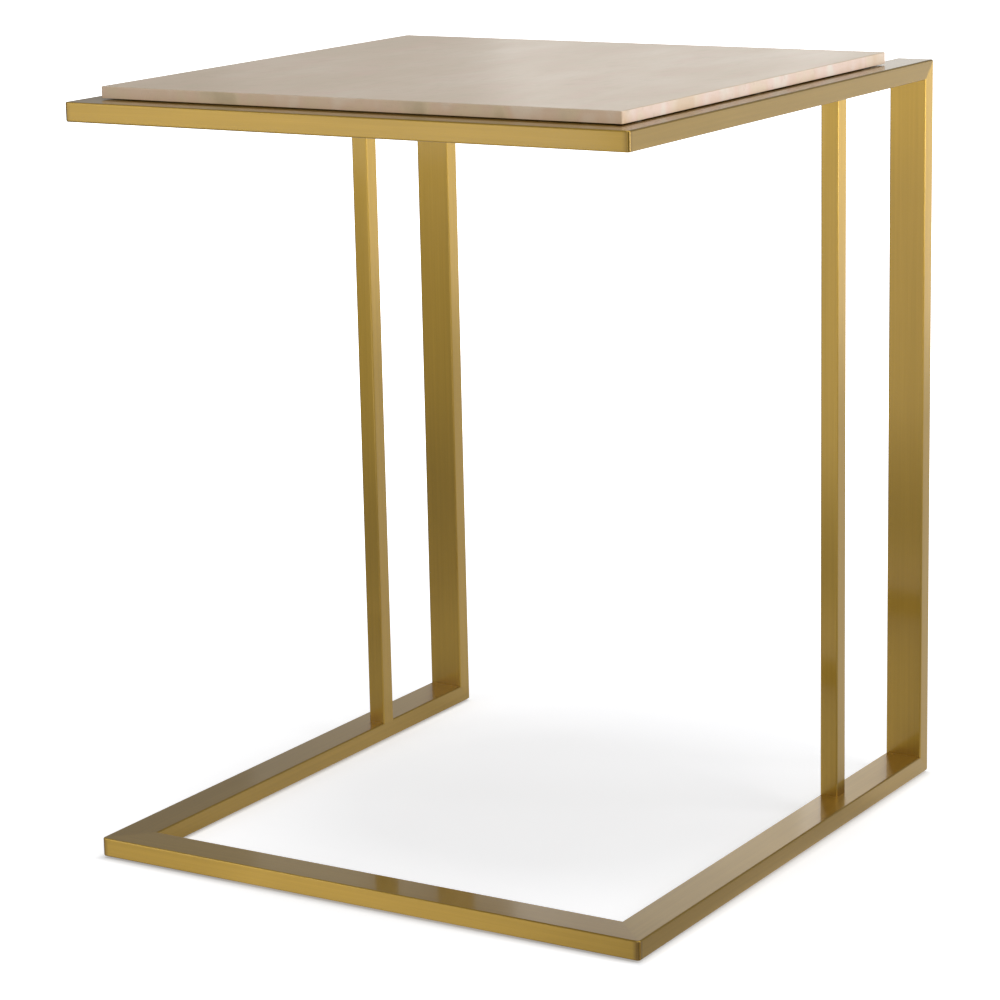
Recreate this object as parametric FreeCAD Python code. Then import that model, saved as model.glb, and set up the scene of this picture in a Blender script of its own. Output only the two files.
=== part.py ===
"""C-shaped side table: a brass-finished tube frame that carries a thin stone top.

Millimetres. X runs across the table, -Y is its open front, +Z is up. The origin is on the floor, under the
middle of the frame. Every piece is a solid of its own, written to parts/NAME.step.
"""
import FreeCAD, Part
import os

V = FreeCAD.Vector

# Frame as a whole
frame_width = 480.0
frame_depth = 495.0
frame_height = 590.0

# Flat tube of the rails and back posts
rail_wide = 31.0
rail_thick = 15.0
tube_wall = 1.5
tube_arris = 1.2
corner_arris = 1.2

# Square tube of the inner posts
post_square = 15.0
post_setback = 355.0

# Stone slab and its place on the frame
slab_thick = 9.0
slab_side_inset = 17.5
slab_front_inset = 22.5
slab_back_inset = 52.5
slab_arris = 0.8
slab_corner = 1.5

# Cross rail, which reaches behind the slab as far as the front rail reaches before it
cross_rail_behind = 22.5

# Pads between frame and slab
pad_thick = 1.0
pad_radius = 4.0
pad_end_inset = 30.0

# Backing board under the slab
board_thick = 12.0
board_clearance = 3.0
board_corner = 6.0
board_edge_break = 1.0

# Corner tabs under the board
tab_leg = 46.0
tab_thick = 3.0
tab_nose = 8.0
tab_hole_inset = 19.0

# Countersunk screws that pull the board onto the tabs
screw_radius = 2.0
screw_length = 12.0
screw_head_radius = 4.0
screw_head_depth = 2.1
screw_tip = 2.5
screw_play = 0.25
pilot_play = 0.1
pilot_spare = 1.0
recess_span = 4.2
recess_wide = 0.9
recess_deep = 1.3

# Snap-in floor glides
glide_show = 1.5
glide_radius = 9.0
glide_end_inset = 15.5
stem_radius = 2.9
stem_play = 0.15
stem_reach = 8.0
barb_radius = 3.4
barb_gap = 0.3
barb_rise = 3.2
stem_slot = 1.0

# How far a cutting shape runs past what it cuts
overrun = 5.0

# Two directions whose product is above this are taken as parallel
parallel_share = 0.999

# Places that follow from the sizes above
left = -frame_width / 2
front = -frame_depth / 2
back = frame_depth / 2
base_floor = glide_show
base_top = base_floor + rail_thick
frame_top = base_floor + frame_height
top_floor = frame_top - rail_thick
inner_side = left + rail_wide
post_front = front + post_setback
slab_floor = frame_top + pad_thick
slab_left = left + slab_side_inset
slab_front = front + slab_front_inset
slab_back = back - slab_back_inset
cross_back = slab_back + cross_rail_behind
cross_front = cross_back - rail_wide
board_floor = slab_floor - board_thick
tab_floor = board_floor - tab_thick


def prism(points, run):
    """Solid between a closed outline of straight sides and its copy moved by run."""
    return Part.Face(Part.makePolygon(points + points[:1])).extrude(run)


def plan_prism(outline, floor, ceiling):
    """Upright solid over an outline given as (x, y)."""
    return prism([V(x, y, floor) for x, y in outline], V(0, 0, ceiling - floor))


def side_prism(outline):
    """Solid through the whole left half of the frame over an outline given as (y, z)."""
    start = left - overrun
    return prism([V(start, y, z) for y, z in outline], V(-start, 0, 0))


def runs_along(edge, axis):
    """Whether an edge is straight and runs along an axis."""
    straight = isinstance(edge.Curve, Part.Line)
    return straight and abs(edge.tangentAt(edge.FirstParameter) * axis) > parallel_share


def edges_along(shape, axis):
    """The straight edges of a shape that run along an axis."""
    return [edge for edge in shape.Edges if runs_along(edge, axis)]


def block(low, high):
    """Box between two opposite corners."""
    size = high - low
    return Part.makeBox(size.x, size.y, size.z, low)


def tube(low, high, axis):
    """Hollow tube with rounded arrises that fills a box and runs along one of its axes."""
    outer = block(low, high)
    outer = outer.makeFillet(tube_arris, edges_along(outer, axis))
    across = V(1, 1, 1) - axis
    bore = block(low + across * tube_wall - axis * overrun, high - across * tube_wall + axis * overrun)
    return outer.cut(bore)


def mirrored(shape):
    """The same piece on the right side of the table."""
    return shape.mirror(V(0, 0, 0), V(1, 0, 0))


# Mitres

def front_corner_rounding(floor, ceiling):
    """Plan of the frame with its two front corners rounded, run past the frame elsewhere."""
    body = block(V(left, front, floor - overrun), V(-left, back + overrun, ceiling + overrun))
    corners = [edge for edge in edges_along(body, V(0, 0, 1)) if edge.CenterOfMass.y < 0]
    return body.makeFillet(corner_arris, corners)


def back_corner_rounding():
    """Side view of the frame with its two back corners rounded, run past the frame elsewhere."""
    body = block(V(left - overrun, front - overrun, base_floor), V(-left + overrun, back, frame_top))
    corners = [edge for edge in edges_along(body, V(1, 0, 0)) if edge.CenterOfMass.y > 0]
    return body.makeFillet(corner_arris, corners)


def front_mitre_of_side(floor, ceiling):
    """What lies behind the diagonal that starts at the frame's front left corner."""
    reach = rail_wide + overrun
    outline = [
        (left - overrun, front - overrun),
        (left + reach, front + reach),
        (left + reach, back + overrun),
        (left - overrun, back + overrun),
    ]
    return plan_prism(outline, floor - overrun, ceiling + overrun)


def front_mitres_of_front(floor, ceiling):
    """What lies before the diagonals from both front corners."""
    reach = rail_wide + overrun
    outline = [
        (left - overrun, front - overrun),
        (-left + overrun, front - overrun),
        (-left - reach, front + reach),
        (left + reach, front + reach),
    ]
    return plan_prism(outline, floor - overrun, ceiling + overrun)


def back_mitre_of_base():
    """What lies below the diagonal from the frame's lower back edge."""
    reach = rail_thick + overrun
    return side_prism([
        (front - overrun, base_floor - overrun),
        (back + overrun, base_floor - overrun),
        (back - reach, base_floor + reach),
        (front - overrun, base_floor + reach),
    ])


def back_mitre_of_top():
    """What lies above the diagonal from the frame's upper back edge."""
    reach = rail_thick + overrun
    return side_prism([
        (front - overrun, frame_top - reach),
        (back - reach, frame_top - reach),
        (back + overrun, frame_top + overrun),
        (front - overrun, frame_top + overrun),
    ])


def back_mitres_of_post():
    """What lies behind both of those diagonals."""
    reach = rail_thick + overrun
    return side_prism([
        (back + overrun, base_floor - overrun),
        (back + overrun, frame_top + overrun),
        (back - reach, frame_top - reach),
        (back - reach, base_floor + reach),
    ])


# Rails and posts

def side_rail(floor, back_mitre):
    """Left rail of the base or of the top frame."""
    ceiling = floor + rail_thick
    rail = tube(V(left, front, floor), V(inner_side, back, ceiling), V(0, 1, 0))
    rail = rail.common(front_mitre_of_side(floor, ceiling)).common(back_mitre)
    return rail.common(front_corner_rounding(floor, ceiling)).common(back_corner_rounding())


def front_rail(floor):
    """Front rail of the base or of the top frame."""
    ceiling = floor + rail_thick
    rail = tube(V(left, front, floor), V(-left, front + rail_wide, ceiling), V(1, 0, 0))
    return rail.common(front_mitres_of_front(floor, ceiling)).common(front_corner_rounding(floor, ceiling))


def back_post():
    """Left back post, in one line with the side rails."""
    post = tube(V(left, back - rail_thick, base_floor), V(inner_side, back, frame_top), V(0, 0, 1))
    return post.common(back_mitres_of_post()).common(back_corner_rounding())


def inner_post():
    """Left inner post, flush with the side rails' inner face and butted between them."""
    low = V(inner_side - post_square, post_front, base_top)
    high = V(inner_side, post_front + post_square, top_floor)
    return tube(low, high, V(0, 0, 1))


def cross_rail():
    """Rear rail of the top frame, butted between the side rails."""
    return tube(V(inner_side, cross_front, top_floor), V(-inner_side, cross_back, frame_top), V(1, 0, 0))


# Stone top and the board under it

def stone_top():
    """Thin slab with softened corners and a small arris all round."""
    slab = block(V(slab_left, slab_front, slab_floor), V(-slab_left, slab_back, slab_floor + slab_thick))
    slab = slab.makeFillet(slab_corner, edges_along(slab, V(0, 0, 1)))
    faces = [face for face in slab.Faces if abs(face.normalAt(0, 0).z) > parallel_share]
    rims = [edge for face in faces for edge in face.Edges]
    return slab.makeFillet(slab_arris, rims)


def board_outline():
    """Low and high corners of the board in plan, inside the top frame's opening."""
    low_x = inner_side + board_clearance
    low_y = front + rail_wide + board_clearance
    return low_x, low_y, -low_x, cross_front - board_clearance


def tab_hole_places():
    """Middle of the screw hole in each corner tab, as (x, y)."""
    near = inner_side + tab_hole_inset
    ends = (front + rail_wide + tab_hole_inset, cross_front - tab_hole_inset)
    return [(x, y) for y in ends for x in (near, -near)]


def backing_board():
    """Board with rounded corners, a broken lower edge and a pilot hole over each tab."""
    low_x, low_y, high_x, high_y = board_outline()
    board = block(V(low_x, low_y, board_floor), V(high_x, high_y, slab_floor))
    board = board.makeFillet(board_corner, edges_along(board, V(0, 0, 1)))
    under = [face for face in board.Faces if face.normalAt(0, 0).z < -parallel_share][0]
    board = board.makeChamfer(board_edge_break, under.Edges)
    depth = screw_length - tab_thick + pilot_spare
    for x, y in tab_hole_places():
        pilot = Part.makeCylinder(screw_radius + pilot_play, depth + overrun, V(x, y, board_floor - overrun))
        board = board.cut(pilot)
    return board


# Corner tabs and their screws

def corner_tab(corner, to_x, to_y, hole):
    """Three-cornered plate with clipped noses, welded into an inner corner of the top frame."""
    x, y = corner
    outline = [
        (x, y),
        (x + to_x * tab_leg, y),
        (x + to_x * tab_leg, y + to_y * tab_nose),
        (x + to_x * tab_nose, y + to_y * tab_leg),
        (x, y + to_y * tab_leg),
    ]
    tab = plan_prism(outline, tab_floor, board_floor)
    foot = V(hole[0], hole[1], tab_floor)
    hole_radius = screw_radius + screw_play
    sink_radius = screw_head_radius + screw_play
    through = Part.makeCylinder(hole_radius, tab_thick + overrun, foot)
    sink = Part.makeCone(sink_radius, hole_radius, screw_head_depth, foot)
    return tab.cut(through).cut(sink)


def screw(x, y):
    """Countersunk wood screw with its head flush under the tab and a cross recess in it."""
    profile = [
        V(0, 0, 0),
        V(screw_head_radius, 0, 0),
        V(screw_radius, 0, screw_head_depth),
        V(screw_radius, 0, screw_length - screw_tip),
        V(0, 0, screw_length),
    ]
    body = Part.Face(Part.makePolygon(profile + profile[:1])).revolve(V(0, 0, 0), V(0, 0, 1), 360)
    for size_x, size_y in ((recess_span, recess_wide), (recess_wide, recess_span)):
        corner = V(-size_x / 2, -size_y / 2, -recess_deep)
        body = body.cut(Part.makeBox(size_x, size_y, 2 * recess_deep, corner))
    body.translate(V(x, y, tab_floor))
    return body


# Pads and glides

def slab_pad(y):
    """Thin round pad on the left side rail, in the middle of the slab's bearing there."""
    return Part.makeCylinder(pad_radius, pad_thick, V((slab_left + inner_side) / 2, y, frame_top))


def floor_glide(y):
    """Snap-in glide: a disc on the floor, a split stem through the tube wall and a barb above it."""
    x = (left + inner_side) / 2
    stem_top = glide_show + stem_reach
    barb_floor = glide_show + tube_wall + barb_gap
    profile = [
        V(0, 0, glide_show),
        V(stem_radius, 0, glide_show),
        V(stem_radius, 0, barb_floor),
        V(barb_radius, 0, barb_floor),
        V(stem_radius, 0, barb_floor + barb_rise),
        V(stem_radius, 0, stem_top),
        V(0, 0, stem_top),
    ]
    stem = Part.Face(Part.makePolygon(profile + profile[:1])).revolve(V(0, 0, 0), V(0, 0, 1), 360)
    slot_low = V(-barb_radius - overrun, -stem_slot / 2, barb_floor)
    slot_high = V(barb_radius + overrun, stem_slot / 2, stem_top + overrun)
    slot = block(slot_low, slot_high)
    glide = Part.makeCylinder(glide_radius, glide_show).fuse(stem.cut(slot))
    glide.translate(V(x, y, 0))
    return glide


def with_glide_holes(rail):
    """A base side rail with the two holes that take the glides' stems."""
    for y in glide_places():
        foot = V((left + inner_side) / 2, y, base_floor - overrun)
        rail = rail.cut(Part.makeCylinder(stem_radius + stem_play, tube_wall + overrun + barb_gap, foot))
    return rail


def glide_places():
    """Where the front and rear glides stand along Y."""
    return (front + rail_wide + glide_end_inset, back - glide_end_inset)


def pad_places():
    """Where the three pads of a side rail lie along Y."""
    first = slab_front + pad_end_inset
    last = slab_back - pad_end_inset
    return (first, (first + last) / 2, last)


def build():
    """All pieces by name."""
    pieces = {}

    def both_sides(name, shape):
        pieces[name.format("left")] = shape
        pieces[name.format("right")] = mirrored(shape)

    both_sides("base_{}_rail", with_glide_holes(side_rail(base_floor, back_mitre_of_base())))
    both_sides("top_{}_rail", side_rail(top_floor, back_mitre_of_top()))
    both_sides("{}_back_post", back_post())
    both_sides("{}_inner_post", inner_post())
    pieces["base_front_rail"] = front_rail(base_floor)
    pieces["top_front_rail"] = front_rail(top_floor)
    pieces["top_cross_rail"] = cross_rail()

    pieces["stone_top"] = stone_top()
    pieces["backing_board"] = backing_board()

    front_hole, _, rear_hole, _ = tab_hole_places()
    both_sides("front_{}_tab", corner_tab((inner_side, front + rail_wide), 1, 1, front_hole))
    both_sides("rear_{}_tab", corner_tab((inner_side, cross_front), 1, -1, rear_hole))
    pieces["tab_screws"] = Part.makeCompound([screw(x, y) for x, y in tab_hole_places()])

    for end, y in zip(("front", "middle", "rear"), pad_places()):
        both_sides("{}_" + end + "_pad", slab_pad(y))
    for end, y in zip(("front", "rear"), glide_places()):
        both_sides(end + "_{}_glide", floor_glide(y))
    return pieces


os.makedirs("parts", exist_ok=True)
for name, shape in build().items():
    shape.exportStep(f"parts/{name}.step")
    print(f"{name}: {len(shape.Solids)} solid, {shape.Volume:.0f} mm3, valid {shape.isValid()}")
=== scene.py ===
"""C-shaped side table: mitred bars of brushed brass that carry a thin honed stone slab.

Metres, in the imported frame: X runs across the table, -Y is its open front, +Z is up.
"""
import bmesh
import bpy
import math
from mathutils import Matrix, Vector


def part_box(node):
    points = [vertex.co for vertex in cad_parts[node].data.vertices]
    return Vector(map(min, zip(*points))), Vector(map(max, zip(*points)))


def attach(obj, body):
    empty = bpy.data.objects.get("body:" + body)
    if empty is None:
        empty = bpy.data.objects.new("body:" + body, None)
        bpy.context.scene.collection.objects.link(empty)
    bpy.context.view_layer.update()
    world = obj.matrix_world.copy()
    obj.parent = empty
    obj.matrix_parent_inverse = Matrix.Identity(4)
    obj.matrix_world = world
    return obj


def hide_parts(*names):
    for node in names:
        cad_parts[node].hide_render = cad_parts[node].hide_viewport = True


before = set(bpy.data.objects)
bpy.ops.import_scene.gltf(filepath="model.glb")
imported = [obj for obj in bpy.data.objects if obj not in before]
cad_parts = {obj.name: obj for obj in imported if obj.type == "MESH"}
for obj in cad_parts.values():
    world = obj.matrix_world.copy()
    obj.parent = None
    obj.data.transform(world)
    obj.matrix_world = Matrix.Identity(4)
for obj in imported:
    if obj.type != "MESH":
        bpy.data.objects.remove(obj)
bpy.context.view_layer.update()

MM = 0.001
X, Y, Z = range(3)

# What makes a Mix node mix colours, which are then its inputs 6 and 7 and its output 2
of_colours = {"output": 2, "data_type": "RGBA"}

# Finish of the bars: the round of their arrises, the larger round of the upright arrises at the front
# corners, and the fine break round a square-cut end, which is sunk into its neighbour
arris = 1.3 * MM
arris_steps = 4
corner_round = 2.4 * MM
corner_steps = 8
joint_break = 0.25 * MM
weld_sink = 1.4 * MM

# Weight of the clear lacquer on the bars across, the bars from front to back and the posts
lacquer = (0.82, 0.71, 0.82)

# How much longer a block starts where it is then cut square, and how near two places count as one
past_end = 6 * MM
same_place = joint_break / 4

# Painted shade: darker metal painted at the upright arris of each front corner, for the dark reflection
# there: the distances over which it fades out, and how dark it is at a low and a high place
corner_shade_reach = (1.8 * MM, 5.5 * MM)
corner_shade_height = (50 * MM, 550 * MM)
corner_shade_strength = (0.75, 0.4)

# Finish of the slab, and the depths over which painted shade, a darker and warmer tone on the front edge,
# fades out behind that edge
slab_corner = 1.5 * MM
slab_arris = 0.8 * MM
slab_under = 0.3 * MM
front_shade_reach = (-222 * MM, -210 * MM)

# Angle past which two faces meet in a sharp edge
sharp_angle = math.radians(30)

# Camera, at the place that the photograph was taken from
camera_place = Vector((1316.6, -2170.5, 861.0)) * MM
camera_yaw = -0.55195
camera_pitch = -0.23227
camera_roll = -0.02213
camera_lens = 118.86
camera_sensor = 36.0

# Side of the floor, and light of the room
floor_size = 40.0
room_light = 0.35

# Light that lifts the floor to white for the camera: it grows from the middle of the table's shade
# outwards, and grows again further away
shade_middle = (0.0, 0.045, 0.0)
shade_reach = (0.16, 0.42)
shade_glow = 0.5
near_glow = 0.7
fade_reach = (0.45, 1.6)

# Contact shadow under the rails of the base: share of that light by distance past the base's outline
contact_reach = (-33 * MM, -28 * MM, -2 * MM, 7 * MM)
contact_share = (1.0, 0.45, 0.45, 1.0)

# Floor as the bars mirror it: its brightness at these distances from the middle, in front and behind,
# and the depths between which one turns into the other
gloss_reach = (0.25, 0.5, 0.8, 1.2, 1.8, 2.6, 4.0)
front_gloss = (0.38, 0.05, 0.22, 0.74, 0.82, 0.9, 1.0)
back_gloss = (0.44, 0.43, 0.43, 0.43, 0.48, 1.05, 0.96)
turn_reach = (-0.3, 0.3)

# Share of that brightness by direction, from straight ahead and growing to the left, and its least
# share by distance
side_angle = [math.radians(angle) for angle in (-125, -100, -45, -25, 17, 22, 41, 115, 150)]
side_share = (1.0, 0.1, 0.1, 1.0, 1.0, 1.15, 0.0, 0.0, 1.0)
near_reach = (0.22, 0.3, 0.5, 0.9)
near_share = (1.0, 0.62, 0.62, 0.0)

# Lit strip of floor in front of the base, up to its right end
strip_front = -0.25
strip_gloss = 0.3
strip_reach = (0.4, 0.6)
strip_end = (0.2, 0.27)

# Shade on the floor to the right of the base: where it starts, its share, and where it ends in
# distance and in depth
right_edge = (0.24, 0.265)
right_shade = 0.28
right_reach = (0.5, 0.8)
right_back = (0.05, 0.2)

# Softboxes: place, the point that they face, width, height, and a brightness where 1 is white paper in
# plain light. The strongest stand to the right and in front, and the far left stays dark.
low_middle = (0.0, 0.0, 0.4)
high_middle = (0.0, 0.0, 0.5)
table_foot = (0.0, 0.05, 0.0)
softboxes = {
    "back_softbox_1": ((-0.9, 3.0, 0.75), low_middle, 0.6, 1.4, 0.68),
    "back_softbox_2": ((-1.5, 3.0, 0.75), low_middle, 0.6, 1.4, 0.75),
    "back_softbox_3": ((-2.1, 3.0, 0.75), low_middle, 0.6, 1.4, 0.22),
    "front_left_softbox": ((-1.97, -2.7, 0.6), low_middle, 1.4, 1.1, 1.33),
    "front_left_high_softbox": ((-1.85, -2.2, 1.5), low_middle, 0.6, 0.5, 3.2),
    "front_right_softbox": ((1.5, -2.5, 0.85), low_middle, 1.0, 0.5, 4.2),
    "right_high_softbox": ((2.2, 0.2, 1.6), high_middle, 1.4, 0.9, 3.3),
    "right_softbox": ((2.4, 0.0, 0.7), high_middle, 1.6, 1.0, 1.7),
    "right_low_softbox": ((2.6, 0.3, 0.3), low_middle, 1.8, 0.5, 3.5),
    "overhead_softbox": ((0.0, 0.05, 2.5), table_foot, 1.6, 1.6, 2.0),
}


# Small tools

def linear(code):
    """An sRGB hex colour as linear RGBA."""
    parts = [int(code[place:place + 2], 16) / 255 for place in (1, 3, 5)]
    parts = [part / 12.92 if part <= 0.04045 else ((part + 0.055) / 1.055) ** 2.4 for part in parts]
    return (*parts, 1.0)


def add(tree, kind, inputs, output=0, stops=(), **settings):
    """Adds a node with its settings and links, and gives the socket of one of its outputs.

    An input takes a value, or another node's output socket to link it to. Stops of (place, hex colour)
    are for a colour ramp.
    """
    made = tree.nodes.new(kind)
    for name, value in settings.items():
        setattr(made, name, value)
    for name, value in inputs.items():
        if isinstance(value, bpy.types.NodeSocket):
            tree.links.new(value, made.inputs[name])
        else:
            made.inputs[name].default_value = value
    for number, (place, colour) in enumerate(stops):
        elements = made.color_ramp.elements
        element = elements[number] if number < len(elements) else elements.new(place)
        element.position = place
        element.color = linear(colour)
    return made.outputs[output] if made.outputs else None


def new_material(name):
    """An empty material and its node tree."""
    material = bpy.data.materials.new(name)
    material.use_nodes = True
    material.node_tree.nodes.clear()
    return material, material.node_tree


def between(value, low, high, to_low, to_high):
    """The inputs that map a value from one range onto another."""
    return {"Value": value, "From Min": low, "From Max": high, "To Min": to_low, "To Max": to_high}


def profile(tree, value, places, levels):
    """Passes through the levels at these places of a value, straight in between."""
    total = levels[0]
    for near, far, low, high in zip(places, places[1:], levels, levels[1:]):
        step = add(tree, "ShaderNodeMapRange", between(value, near, far, 0.0, high - low))
        total = add(tree, "ShaderNodeMath", {0: step, 1: total}, operation="ADD")
    return total


def grain(tree, size, detail=4.0, rough=0.55, shift=(0.0, 0.0, 0.0)):
    """Cloudy pattern in Object coordinates whose blotches measure about size along X, Y and Z."""
    place = add(tree, "ShaderNodeTexCoord", {}, "Object")
    scale = tuple(1 / length for length in size)
    place = add(tree, "ShaderNodeMapping", {"Vector": place, "Scale": scale, "Location": shift})
    return add(tree, "ShaderNodeTexNoise", {
        "Vector": place,
        "Scale": 1.0,
        "Detail": detail,
        "Roughness": rough,
    })


def upright_share(tree):
    """1 where the surface faces sideways, 0 where it faces up or down."""
    facing = add(tree, "ShaderNodeNewGeometry", {}, "Normal")
    facing = add(tree, "ShaderNodeSeparateXYZ", {"Vector": facing}, "Z")
    facing = add(tree, "ShaderNodeMath", {0: facing}, operation="ABSOLUTE")
    return add(tree, "ShaderNodeMapRange", between(facing, 0.3, 0.6, 1.0, 0.0))


def corner_shade_share(tree):
    """How much painted shade darkens the metal: only on upright faces, near the upright arris of a front
    corner.
    """
    low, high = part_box("base_front_rail")
    arris_line = (high[X], low[Y], 0.0)
    place = add(tree, "ShaderNodeTexCoord", {}, "Object")
    across = add(tree, "ShaderNodeSeparateXYZ", {"Vector": place}, "X")
    across = add(tree, "ShaderNodeMath", {0: across}, operation="ABSOLUTE")
    depth = add(tree, "ShaderNodeSeparateXYZ", {"Vector": place}, "Y")
    height = add(tree, "ShaderNodeSeparateXYZ", {"Vector": place}, "Z")
    flat = add(tree, "ShaderNodeCombineXYZ", {"X": across, "Y": depth})
    away = add(tree, "ShaderNodeVectorMath", {0: flat, 1: arris_line}, "Value", operation="DISTANCE")
    darkening = add(tree, "ShaderNodeMapRange", between(height, *corner_shade_height, *corner_shade_strength))
    darkening = add(tree, "ShaderNodeMapRange", between(away, *corner_shade_reach, darkening, 0.0))
    return add(tree, "ShaderNodeMath", {0: darkening, 1: upright_share(tree)}, operation="MULTIPLY")


# Materials

def brushed_brass(axis):
    """Brushed brass: belt-ground along each bar, then lacquered.

    The scratches spread a reflection across the bar and leave it sharp along the bar, so where two bars
    meet at a mitre the sheen turns with them. The lacquer lays a thin white gloss over it at low angles.
    The scratches of a belt are about 0.1 mm wide, and are drawn 0.5 mm wide so that they show.
    """
    material, tree = new_material("brushed_brass_" + "xyz"[axis])
    along = [0.0, 0.0, 0.0]
    along[axis] = 1.0

    def streaks(length, width, shift):
        size = [width, width, width]
        size[axis] = length
        return grain(tree, size, detail=3.0, shift=shift)

    fine = streaks(70 * MM, 0.5 * MM, (0.0, 0.0, 0.0))
    broad = streaks(240 * MM, 2.6 * MM, (3.1, 5.7, 1.9))
    cloud = grain(tree, (90 * MM, 90 * MM, 90 * MM), detail=2.0, shift=(7.7, 2.3, 4.1))
    tone = add(tree, "ShaderNodeValToRGB", {"Fac": broad}, stops=((0.3, "#b18f38"), (0.7, "#ba963c")))
    scratch = add(tree, "ShaderNodeMapRange", between(fine, 0.35, 0.65, 0.0, 0.22))
    # Painted shade: the metal turns darker near the upright arris of each front corner, more so lower down
    corner_shade = corner_shade_share(tree)
    tone = add(tree, "ShaderNodeMix", {0: scratch, 6: tone, 7: linear("#a38232")}, **of_colours)
    tone = add(tree, "ShaderNodeMix", {0: corner_shade, 6: tone, 7: linear("#6d5120")}, **of_colours)
    tangent = add(tree, "ShaderNodeCombineXYZ", dict(zip("XYZ", along)))
    relief = add(tree, "ShaderNodeBump", {"Height": fine, "Strength": 0.12, "Distance": 0.05 * MM})
    shader = add(tree, "ShaderNodeBsdfPrincipled", {
        "Base Color": tone,
        "Metallic": 1.0,
        "Roughness": add(tree, "ShaderNodeMapRange", between(cloud, 0.3, 0.7, 0.3, 0.33)),
        "Anisotropic": 1.0,
        "Anisotropic Rotation": 0.25,
        "Tangent": tangent,
        "Normal": relief,
        "Coat Weight": lacquer[axis],
        "Coat Roughness": 0.08,
        "Coat IOR": 1.45,
    })
    add(tree, "ShaderNodeOutputMaterial", {"Surface": shader})
    return material


def honed_stone():
    """Honed limestone: sawn, then ground to a matt, closed surface.

    The face shows soft clouds drawn out from front to back, in warm grey, rose and sage. The sawn edges
    are drawn paler than the face, partly as painted light on them, and show upright bands of peach, cream
    and white, with painted shade in a darker, warmer tone along the front. The stone's grit is under
    0.5 mm, and is drawn at 1.2 mm so that it shows.
    """
    material, tree = new_material("honed_stone")
    clouds = grain(tree, (90 * MM, 170 * MM, 60 * MM), detail=4.0, shift=(1.3, 0.7, 2.9))
    veils = grain(tree, (22 * MM, 85 * MM, 30 * MM), detail=5.0, shift=(9.1, 3.3, 5.2))
    flecks = grain(tree, (7 * MM, 24 * MM, 9 * MM), detail=4.0, shift=(6.3, 2.9, 1.4))
    bands = grain(tree, (38 * MM, 38 * MM, 60 * MM), detail=2.0, shift=(4.3, 8.1, 0.3))
    spots = grain(tree, (22 * MM, 24 * MM, 14 * MM), detail=2.0, shift=(2.2, 6.1, 7.7))
    smudges = grain(tree, (26 * MM, 9 * MM, 9 * MM), detail=3.0, shift=(5.5, 1.7, 8.8))
    speck = grain(tree, (1.2 * MM, 1.2 * MM, 1.2 * MM), detail=2.0)

    face = add(tree, "ShaderNodeValToRGB", {"Fac": clouds}, stops=(
        (0.3, "#cdb99e"),
        (0.5, "#d3bfa6"),
        (0.7, "#d9c8b2"),
    ))
    rosy = add(tree, "ShaderNodeMapRange", between(veils, 0.5, 0.7, 0.0, 0.5))
    face = add(tree, "ShaderNodeMix", {0: rosy, 6: face, 7: linear("#d9bfad")}, **of_colours)
    sage = add(tree, "ShaderNodeMapRange", between(flecks, 0.5, 0.72, 0.0, 0.4))
    face = add(tree, "ShaderNodeMix", {0: sage, 6: face, 7: linear("#c3b596")}, **of_colours)

    # The edges take paler colours than the face: bands of the stone, and partly painted light on the
    # upright sides
    edge = add(tree, "ShaderNodeValToRGB", {"Fac": bands}, stops=(
        (0.34, "#ead3ba"),
        (0.43, "#f1dfcb"),
        (0.51, "#f3dacb"),
        (0.58, "#f5dfd4"),
        (0.66, "#f6ece2"),
    ))
    # Painted shade for the front edge: a darker, warmer copy of the edge colours, laid along the front
    shaded_edge = add(tree, "ShaderNodeValToRGB", {"Fac": bands}, stops=(
        (0.34, "#cdbb90"),
        (0.44, "#e6cfa6"),
        (0.54, "#e9cba8"),
        (0.62, "#f0dcc0"),
    ))
    place = add(tree, "ShaderNodeTexCoord", {}, "Object")
    depth = add(tree, "ShaderNodeSeparateXYZ", {"Vector": place}, "Y")
    front_shade = add(tree, "ShaderNodeMapRange", between(depth, *front_shade_reach, 0.75, 0.0))
    edge = add(tree, "ShaderNodeMix", {0: front_shade, 6: edge, 7: shaded_edge}, **of_colours)
    mottle = add(tree, "ShaderNodeMapRange", between(spots, 0.5, 0.68, 0.0, 0.42))
    edge = add(tree, "ShaderNodeMix", {0: mottle, 6: edge, 7: linear("#e0c6ad")}, **of_colours)

    sawn = upright_share(tree)
    tone = add(tree, "ShaderNodeMix", {0: sawn, 6: face, 7: edge}, **of_colours)
    smudge = add(tree, "ShaderNodeMapRange", between(smudges, 0.6, 0.78, 0.0, 0.3))
    tone = add(tree, "ShaderNodeMix", {0: smudge, 6: tone, 7: linear("#b5a288")}, **of_colours)
    grit = add(tree, "ShaderNodeMapRange", between(speck, 0.6, 0.75, 0.0, 0.12))
    tone = add(tree, "ShaderNodeMix", {0: grit, 6: tone, 7: linear("#a08f78")}, **of_colours)
    relief = add(tree, "ShaderNodeBump", {"Height": speck, "Strength": 0.08, "Distance": 0.1 * MM})
    shader = add(tree, "ShaderNodeBsdfPrincipled", {
        "Base Color": tone,
        "Roughness": add(tree, "ShaderNodeMapRange", between(veils, 0.3, 0.7, 0.28, 0.33)),
        "IOR": 1.58,
        "Normal": relief,
    })
    add(tree, "ShaderNodeOutputMaterial", {"Surface": shader})
    return material


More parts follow.
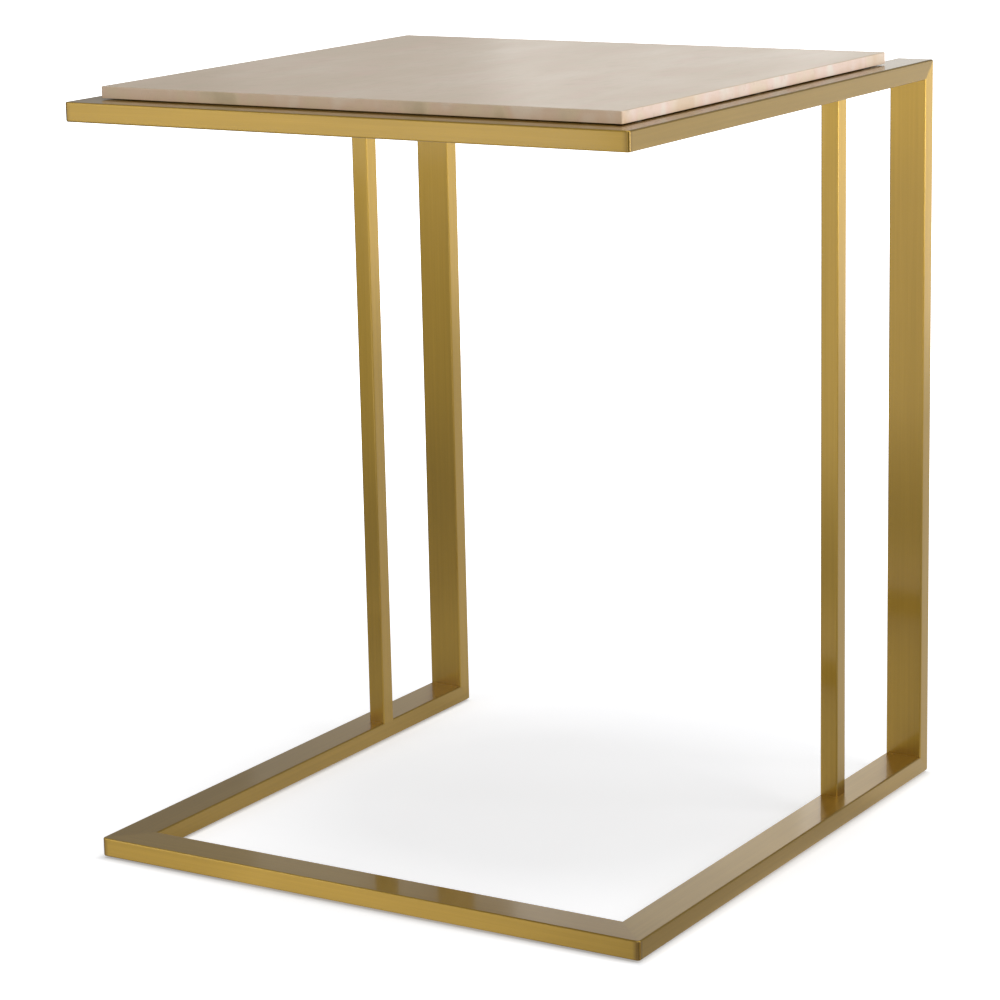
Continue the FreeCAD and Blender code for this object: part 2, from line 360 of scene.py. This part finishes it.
def birch_plywood():
    """Birch plywood, rotary cut and sanded: long soft figure on the faces and thin plies round the edge.

    A light and a dark ply together are 2.6 mm thick.
    """
    material, tree = new_material("birch_plywood")
    figure = grain(tree, (9 * MM, 160 * MM, 9 * MM), detail=6.0, shift=(2.0, 4.0, 1.0))
    tone = add(tree, "ShaderNodeValToRGB", {"Fac": figure}, stops=(
        (0.3, "#b08c5e"),
        (0.55, "#c8a878"),
        (0.75, "#d6bb90"),
    ))
    place = add(tree, "ShaderNodeTexCoord", {}, "Object")
    height = add(tree, "ShaderNodeSeparateXYZ", {"Vector": place}, "Z")
    ply = add(tree, "ShaderNodeMath", {0: height, 1: 2 * math.pi / (2.6 * MM)}, operation="MULTIPLY")
    ply = add(tree, "ShaderNodeMath", {0: ply}, operation="SINE")
    ply = add(tree, "ShaderNodeMapRange", between(ply, 0.0, 0.6, 0.0, 0.55))
    ply = add(tree, "ShaderNodeMath", {0: upright_share(tree), 1: ply}, operation="MULTIPLY")
    tone = add(tree, "ShaderNodeMix", {0: ply, 6: tone, 7: linear("#7d5a38")}, **of_colours)
    relief = add(tree, "ShaderNodeBump", {"Height": figure, "Strength": 0.2, "Distance": 0.15 * MM})
    shader = add(tree, "ShaderNodeBsdfPrincipled", {
        "Base Color": tone,
        "Roughness": add(tree, "ShaderNodeMapRange", between(figure, 0.3, 0.7, 0.55, 0.68)),
        "IOR": 1.5,
        "Normal": relief,
    })
    add(tree, "ShaderNodeOutputMaterial", {"Surface": shader})
    return material


def plated_tab():
    """Brass-plated steel plate, tumbled: an even satin with no direction in it."""
    material, tree = new_material("plated_tab")
    cloud = grain(tree, (14 * MM, 14 * MM, 14 * MM), detail=5.0)
    tone = add(tree, "ShaderNodeValToRGB", {"Fac": cloud}, stops=((0.35, "#b18f4c"), (0.65, "#c5a45e")))
    shader = add(tree, "ShaderNodeBsdfPrincipled", {
        "Base Color": tone,
        "Metallic": 1.0,
        "Roughness": add(tree, "ShaderNodeMapRange", between(cloud, 0.3, 0.7, 0.34, 0.44)),
    })
    add(tree, "ShaderNodeOutputMaterial", {"Surface": shader})
    return material


def zinc_screw():
    """Bright zinc on steel, barrel plated: silvery with a faint blue cast."""
    material, tree = new_material("zinc_screw")
    cloud = grain(tree, (3 * MM, 3 * MM, 3 * MM), detail=4.0)
    tone = add(tree, "ShaderNodeValToRGB", {"Fac": cloud}, stops=((0.3, "#b9bfc6"), (0.7, "#d3d6da")))
    shader = add(tree, "ShaderNodeBsdfPrincipled", {
        "Base Color": tone,
        "Metallic": 1.0,
        "Roughness": add(tree, "ShaderNodeMapRange", between(cloud, 0.3, 0.7, 0.24, 0.36)),
    })
    add(tree, "ShaderNodeOutputMaterial", {"Surface": shader})
    return material


def clear_pad():
    """Clear polyurethane bumper, cast: glassy, with a little milk in it."""
    material, tree = new_material("clear_pad")
    cloud = grain(tree, (4 * MM, 4 * MM, 4 * MM), detail=2.0)
    tone = add(tree, "ShaderNodeValToRGB", {"Fac": cloud}, stops=((0.3, "#e4e2dc"), (0.7, "#f2f1ee")))
    shader = add(tree, "ShaderNodeBsdfPrincipled", {
        "Base Color": tone,
        "Roughness": add(tree, "ShaderNodeMapRange", between(cloud, 0.3, 0.7, 0.12, 0.2)),
        "IOR": 1.49,
        "Transmission Weight": 0.6,
    })
    add(tree, "ShaderNodeOutputMaterial", {"Surface": shader})
    return material


def moulded_nylon():
    """Nylon, injection moulded in a spark-eroded tool: dark, fine grained and nearly matt.

    The tool's pebbles are about 0.05 mm, and are drawn at 0.5 mm so that they show.
    """
    material, tree = new_material("moulded_nylon")
    pebble = grain(tree, (0.5 * MM, 0.5 * MM, 0.5 * MM), detail=2.0)
    tone = add(tree, "ShaderNodeValToRGB", {"Fac": pebble}, stops=((0.3, "#2c2a28"), (0.7, "#3a3835")))
    relief = add(tree, "ShaderNodeBump", {"Height": pebble, "Strength": 0.3, "Distance": 0.05 * MM})
    shader = add(tree, "ShaderNodeBsdfPrincipled", {
        "Base Color": tone,
        "Roughness": add(tree, "ShaderNodeMapRange", between(pebble, 0.3, 0.7, 0.45, 0.6)),
        "IOR": 1.53,
        "Normal": relief,
    })
    add(tree, "ShaderNodeOutputMaterial", {"Surface": shader})
    return material


# Modelling

def only(piece):
    """Makes a piece the active object and the only one selected."""
    bpy.ops.object.select_all(action="DESELECT")
    piece.select_set(True)
    bpy.context.view_layer.objects.active = piece


def select_edges(piece, test):
    """In edit mode, selects the edges that a test picks and nothing else."""
    mesh = bmesh.from_edit_mesh(piece.data)
    for item in list(mesh.verts) + list(mesh.edges) + list(mesh.faces):
        item.select = False
    for edge in mesh.edges:
        if test(edge):
            edge.select_set(True)
    mesh.select_flush_mode()
    bmesh.update_edit_mesh(piece.data)


def stands(edge):
    """Whether an edge is upright."""
    first, second = (corner.co for corner in edge.verts)
    return abs(first.z - second.z) > (first.xy - second.xy).length


def lies_at(edge, axis, place):
    """Whether both ends of an edge are at one place of an axis."""
    return all(abs(corner.co[axis] - place) < same_place for corner in edge.verts)


def start_block(name, low, high):
    """Block between two corners, with its place in its mesh, left in edit mode."""
    low, high = Vector(low), Vector(high)
    bpy.ops.object.select_all(action="DESELECT")
    bpy.ops.mesh.primitive_cube_add(size=1, location=(low + high) / 2, scale=high - low)
    piece = bpy.context.object
    piece.name = piece.data.name = name
    bpy.ops.object.transform_apply(location=True, rotation=True, scale=True)
    bpy.ops.object.mode_set(mode="EDIT")
    bpy.ops.mesh.select_mode(type="EDGE")
    return piece


def finish_piece(piece, node, material):
    """Leaves edit mode, smooths the rounded arrises and puts the piece in the frame."""
    bpy.ops.object.mode_set(mode="OBJECT")
    only(piece)
    bpy.ops.object.shade_smooth_by_angle(angle=sharp_angle)
    normals = piece.modifiers.new("flat_faces_rule", "WEIGHTED_NORMAL")
    normals.keep_sharp = True
    normals.weight = 100
    bpy.ops.object.modifier_apply(modifier=normals.name)
    piece.data.materials.clear()
    piece.data.materials.append(material)
    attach(piece, "root")
    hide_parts(node)


def bar(node, axis, cuts=(), butts=(0, 0), front_corner=False):
    """Bar in the place of a CAD tube: rounded on its long arrises, mitred, or cut square at its butts.

    cuts are planes, each a point and a normal, that take away what lies on the normal's side. butts say
    whether the low and the high end are cut square, a little inside the neighbour, as the seam, welded
    and ground flush, hides the joint. A bar at a front corner has its upright arrises there dressed to a
    larger round.
    """
    low, high = (list(corner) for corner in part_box(node))
    ends = low[axis] - weld_sink * butts[0], high[axis] + weld_sink * butts[1]
    low[axis] -= past_end * butts[0]
    high[axis] += past_end * butts[1]
    piece = start_block(node + "_bar", low, high)
    if front_corner:
        front_y = low[Y] + arris
        select_edges(piece, lambda edge: stands(edge) and edge.verts[0].co.y < front_y)
        bpy.ops.mesh.bevel(offset=corner_round, segments=corner_steps, affect="EDGES")
    select_edges(piece, lambda edge: edge.calc_face_angle() > sharp_angle)
    bpy.ops.mesh.bevel(offset=arris, segments=arris_steps, affect="EDGES")

    planes = list(cuts)
    for end, butt, sign in zip(ends, butts, (-1, 1)):
        if butt:
            point, normal = [0.0, 0.0, 0.0], [0.0, 0.0, 0.0]
            point[axis], normal[axis] = end, sign
            planes.append((point, normal))
    for point, normal in planes:
        bpy.ops.mesh.select_all(action="SELECT")
        bpy.ops.mesh.bisect(plane_co=point, plane_no=normal, use_fill=True, clear_outer=True)
    for end, butt in zip(ends, butts):
        if butt:
            select_edges(piece, lambda edge: lies_at(edge, axis, end))
            bpy.ops.mesh.bevel(offset=joint_break, segments=1, affect="EDGES")
    finish_piece(piece, node, brass[axis])


def far_sides(cuts):
    """The same planes, for the bar on the other side of each mitre."""
    return [(point, [-part for part in normal]) for point, normal in cuts]


def frame_bars():
    """All the bars of the frame: mitred in plan at the front corners and upright at the back ones."""
    low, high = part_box("base_front_rail")
    back_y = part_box("left_back_post")[1][Y]
    floor_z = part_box("base_left_rail")[0][Z]
    ceiling_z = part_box("top_left_rail")[1][Z]
    front_cuts = {
        "left": ((low[X], low[Y], 0), (1, -1, 0)),
        "right": ((high[X], low[Y], 0), (-1, -1, 0)),
    }
    back_cuts = {
        "base": ((0, back_y, floor_z), (0, 1, 1)),
        "top": ((0, back_y, ceiling_z), (0, 1, -1)),
    }
    for level, back_cut in back_cuts.items():
        bar(level + "_front_rail", X, far_sides(front_cuts.values()), front_corner=True)
        for side, front_cut in front_cuts.items():
            bar(f"{level}_{side}_rail", Y, (front_cut, back_cut), front_corner=True)
    for side in front_cuts:
        bar(side + "_back_post", Z, far_sides(back_cuts.values()))
        bar(side + "_inner_post", Z, butts=(1, 1))
    bar("top_cross_rail", X, butts=(1, 1))


def slab():
    """Stone slab with eased corners, rounded arrises on top and finer ones below."""
    low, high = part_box("stone_top")
    middle_z = (low[Z] + high[Z]) / 2
    piece = start_block("stone_slab", low, high)
    select_edges(piece, stands)
    bpy.ops.mesh.bevel(offset=slab_corner, segments=arris_steps, affect="EDGES")
    select_edges(piece, lambda edge: not stands(edge) and edge.verts[0].co.z > middle_z)
    bpy.ops.mesh.bevel(offset=slab_arris, segments=arris_steps, affect="EDGES")
    select_edges(piece, lambda edge: not stands(edge) and edge.verts[0].co.z < middle_z)
    bpy.ops.mesh.bevel(offset=slab_under, segments=arris_steps, affect="EDGES")
    finish_piece(piece, "stone_top", honed_stone())


def dress(nodes, material):
    """Gives CAD nodes a material."""
    for name in nodes:
        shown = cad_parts[name]
        shown.data.materials.clear()
        shown.data.materials.append(material)


# Studio

def seen_rays(tree):
    """1 for rays that look straight at a surface or through a clear pad, 0 for the others."""
    return add(tree, "ShaderNodeMath", {
        0: add(tree, "ShaderNodeLightPath", {}, "Is Camera Ray"),
        1: add(tree, "ShaderNodeLightPath", {}, "Is Transmission Ray"),
    }, operation="MAXIMUM")


def seen_light(tree, place):
    """Light that lifts the floor to white for the camera, with less of it under the table and its rails."""
    low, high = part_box("base_front_rail")
    across = add(tree, "ShaderNodeSeparateXYZ", {"Vector": place}, "X")
    depth = add(tree, "ShaderNodeSeparateXYZ", {"Vector": place}, "Y")
    reach = add(tree, "ShaderNodeVectorMath", {0: place}, "Value", operation="LENGTH")
    under = add(tree, "ShaderNodeVectorMath", {0: place, 1: shade_middle}, "Value", operation="DISTANCE")
    near = add(tree, "ShaderNodeMapRange", between(under, *shade_reach, shade_glow, near_glow))
    far = add(tree, "ShaderNodeMapRange", between(reach, *fade_reach, 0.0, 1.0))
    light = add(tree, "ShaderNodeMath", {0: near, 1: far}, operation="ADD")

    aside = add(tree, "ShaderNodeMath", {0: across}, operation="ABSOLUTE")
    aside = add(tree, "ShaderNodeMath", {0: aside, 1: high[X]}, operation="SUBTRACT")
    ahead = add(tree, "ShaderNodeMath", {0: low[Y], 1: depth}, operation="SUBTRACT")
    past = add(tree, "ShaderNodeMath", {0: aside, 1: ahead}, operation="MAXIMUM")
    contact = profile(tree, past, contact_reach, contact_share)
    behind = add(tree, "ShaderNodeMath", {0: depth, 1: -low[Y]}, operation="GREATER_THAN")
    contact = add(tree, "ShaderNodeMath", {0: contact, 1: behind}, operation="MAXIMUM")
    light = add(tree, "ShaderNodeMath", {0: light, 1: contact}, operation="MULTIPLY")
    return add(tree, "ShaderNodeMath", {0: light, 1: seen_rays(tree)}, operation="MULTIPLY")


def open_side(tree, place, reach):
    """Share of the studio's light by direction: little to the left and the front right, unless near."""
    turned = add(tree, "ShaderNodeVectorMath", {0: place, "Scale": -1.0}, operation="SCALE")
    left = add(tree, "ShaderNodeSeparateXYZ", {"Vector": turned}, "X")
    ahead = add(tree, "ShaderNodeSeparateXYZ", {"Vector": turned}, "Y")
    angle = add(tree, "ShaderNodeMath", {0: left, 1: ahead}, operation="ARCTAN2")
    side = profile(tree, angle, side_angle, side_share)
    least = profile(tree, reach, near_reach, near_share)
    return add(tree, "ShaderNodeMath", {0: side, 1: least}, operation="MAXIMUM")


def mirrored_light(tree, place):
    """Light that the bars mirror from the floor, which draws the soft bands along them."""
    across = add(tree, "ShaderNodeSeparateXYZ", {"Vector": place}, "X")
    depth = add(tree, "ShaderNodeSeparateXYZ", {"Vector": place}, "Y")
    reach = add(tree, "ShaderNodeVectorMath", {0: place}, "Value", operation="LENGTH")
    ahead = profile(tree, reach, gloss_reach, front_gloss)
    behind = profile(tree, reach, gloss_reach, back_gloss)
    light = add(tree, "ShaderNodeMapRange", between(depth, *turn_reach, ahead, behind))
    side = open_side(tree, place, reach)
    light = add(tree, "ShaderNodeMath", {0: light, 1: side}, operation="MULTIPLY")

    strip = add(tree, "ShaderNodeMath", {0: depth, 1: strip_front}, operation="LESS_THAN")
    strip_length = add(tree, "ShaderNodeMapRange", between(across, *strip_end, 1.0, 0.0))
    strip = add(tree, "ShaderNodeMath", {0: strip, 1: strip_length}, operation="MULTIPLY")
    strip_light = add(tree, "ShaderNodeMapRange", between(reach, *strip_reach, strip_gloss, 0.0))
    light = add(tree, "ShaderNodeMath", {0: strip, 1: strip_light, 2: light}, operation="MULTIPLY_ADD")

    shade = add(tree, "ShaderNodeMapRange", between(across, *right_edge, 1.0, right_shade))
    far = add(tree, "ShaderNodeMapRange", between(reach, *right_reach, 0.0, 1.0))
    shade = add(tree, "ShaderNodeMath", {0: shade, 1: far}, operation="MAXIMUM")
    back = add(tree, "ShaderNodeMapRange", between(depth, *right_back, 0.0, 1.0))
    shade = add(tree, "ShaderNodeMath", {0: shade, 1: back}, operation="MAXIMUM")
    light = add(tree, "ShaderNodeMath", {0: light, 1: shade}, operation="MULTIPLY")
    mirrored = add(tree, "ShaderNodeLightPath", {}, "Is Glossy Ray")
    return add(tree, "ShaderNodeMath", {0: light, 1: mirrored}, operation="MULTIPLY")


def white_floor():
    """Pale floor: white to the camera but for a soft shadow, and clear when seen from below."""
    bpy.ops.object.select_all(action="DESELECT")
    bpy.ops.mesh.primitive_plane_add(size=floor_size)
    floor = bpy.context.object
    floor.name = "floor"
    material, tree = new_material("pale_floor")
    place = add(tree, "ShaderNodeTexCoord", {}, "Object")
    glow = add(tree, "ShaderNodeMath", {
        0: seen_light(tree, place),
        1: mirrored_light(tree, place),
    }, operation="ADD")
    light = add(tree, "ShaderNodeEmission", {"Color": linear("#ffffff"), "Strength": glow})
    tone = add(tree, "ShaderNodeMix", {
        0: seen_rays(tree),
        6: linear("#c4c4c4"),
        7: linear("#d9dbdf"),
    }, **of_colours)
    paper = add(tree, "ShaderNodeBsdfDiffuse", {"Color": tone})
    paper = add(tree, "ShaderNodeAddShader", {0: paper, 1: light})
    below = add(tree, "ShaderNodeNewGeometry", {}, "Backfacing")
    clear = add(tree, "ShaderNodeBsdfTransparent", {})
    paper = add(tree, "ShaderNodeMixShader", {0: below, 1: paper, 2: clear})
    add(tree, "ShaderNodeOutputMaterial", {"Surface": paper})
    floor.data.materials.append(material)


def studio_world():
    """Dim even room that shows white where it is looked at directly."""
    world = bpy.data.worlds.new("studio")
    bpy.context.scene.world = world
    world.use_nodes = True
    tree = world.node_tree
    tree.nodes.clear()
    strength = add(tree, "ShaderNodeMapRange", between(seen_rays(tree), 0.0, 1.0, room_light, 1.0))
    room = add(tree, "ShaderNodeBackground", {"Color": linear("#ffffff"), "Strength": strength})
    add(tree, "ShaderNodeOutputWorld", {"Surface": room})


def studio_lamps():
    """The softboxes, which the camera doesn't see."""
    for name, (place, aim, width, height, brightness) in softboxes.items():
        data = bpy.data.lights.new(name, "AREA")
        data.shape = "RECTANGLE"
        data.size = width
        data.size_y = height
        data.energy = brightness * math.pi * width * height
        lamp = bpy.data.objects.new(name, data)
        bpy.context.scene.collection.objects.link(lamp)
        lamp.location = place
        lamp.rotation_euler = (Vector(aim) - Vector(place)).to_track_quat("-Z", "Y").to_euler()
        lamp.visible_camera = False


def photo_camera():
    """Camera at the photograph's place, turned by yaw, pitch and roll."""
    data = bpy.data.cameras.new("camera")
    data.lens = camera_lens
    data.sensor_width = camera_sensor
    ahead = Vector((
        math.sin(camera_yaw) * math.cos(camera_pitch),
        math.cos(camera_yaw) * math.cos(camera_pitch),
        math.sin(camera_pitch),
    ))
    level = ahead.cross(Vector((0, 0, 1))).normalized()
    upward = level.cross(ahead)
    side = math.cos(camera_roll) * level + math.sin(camera_roll) * upward
    above = math.cos(camera_roll) * upward - math.sin(camera_roll) * level
    turned = Matrix((side, above, -ahead)).transposed().to_4x4()
    camera = bpy.data.objects.new("camera", data)
    camera.matrix_world = Matrix.Translation(camera_place) @ turned
    bpy.context.scene.collection.objects.link(camera)
    bpy.context.scene.camera = camera


brass = [brushed_brass(axis) for axis in (X, Y, Z)]
frame_bars()
slab()
dress(["backing_board"], birch_plywood())
dress([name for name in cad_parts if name.endswith("_tab")], plated_tab())
dress(["tab_screws"], zinc_screw())
dress([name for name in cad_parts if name.endswith("_pad")], clear_pad())
dress([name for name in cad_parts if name.endswith("_glide")], moulded_nylon())
white_floor()
studio_world()
studio_lamps()
photo_camera()
bpy.context.scene.view_settings.view_transform = "Standard"
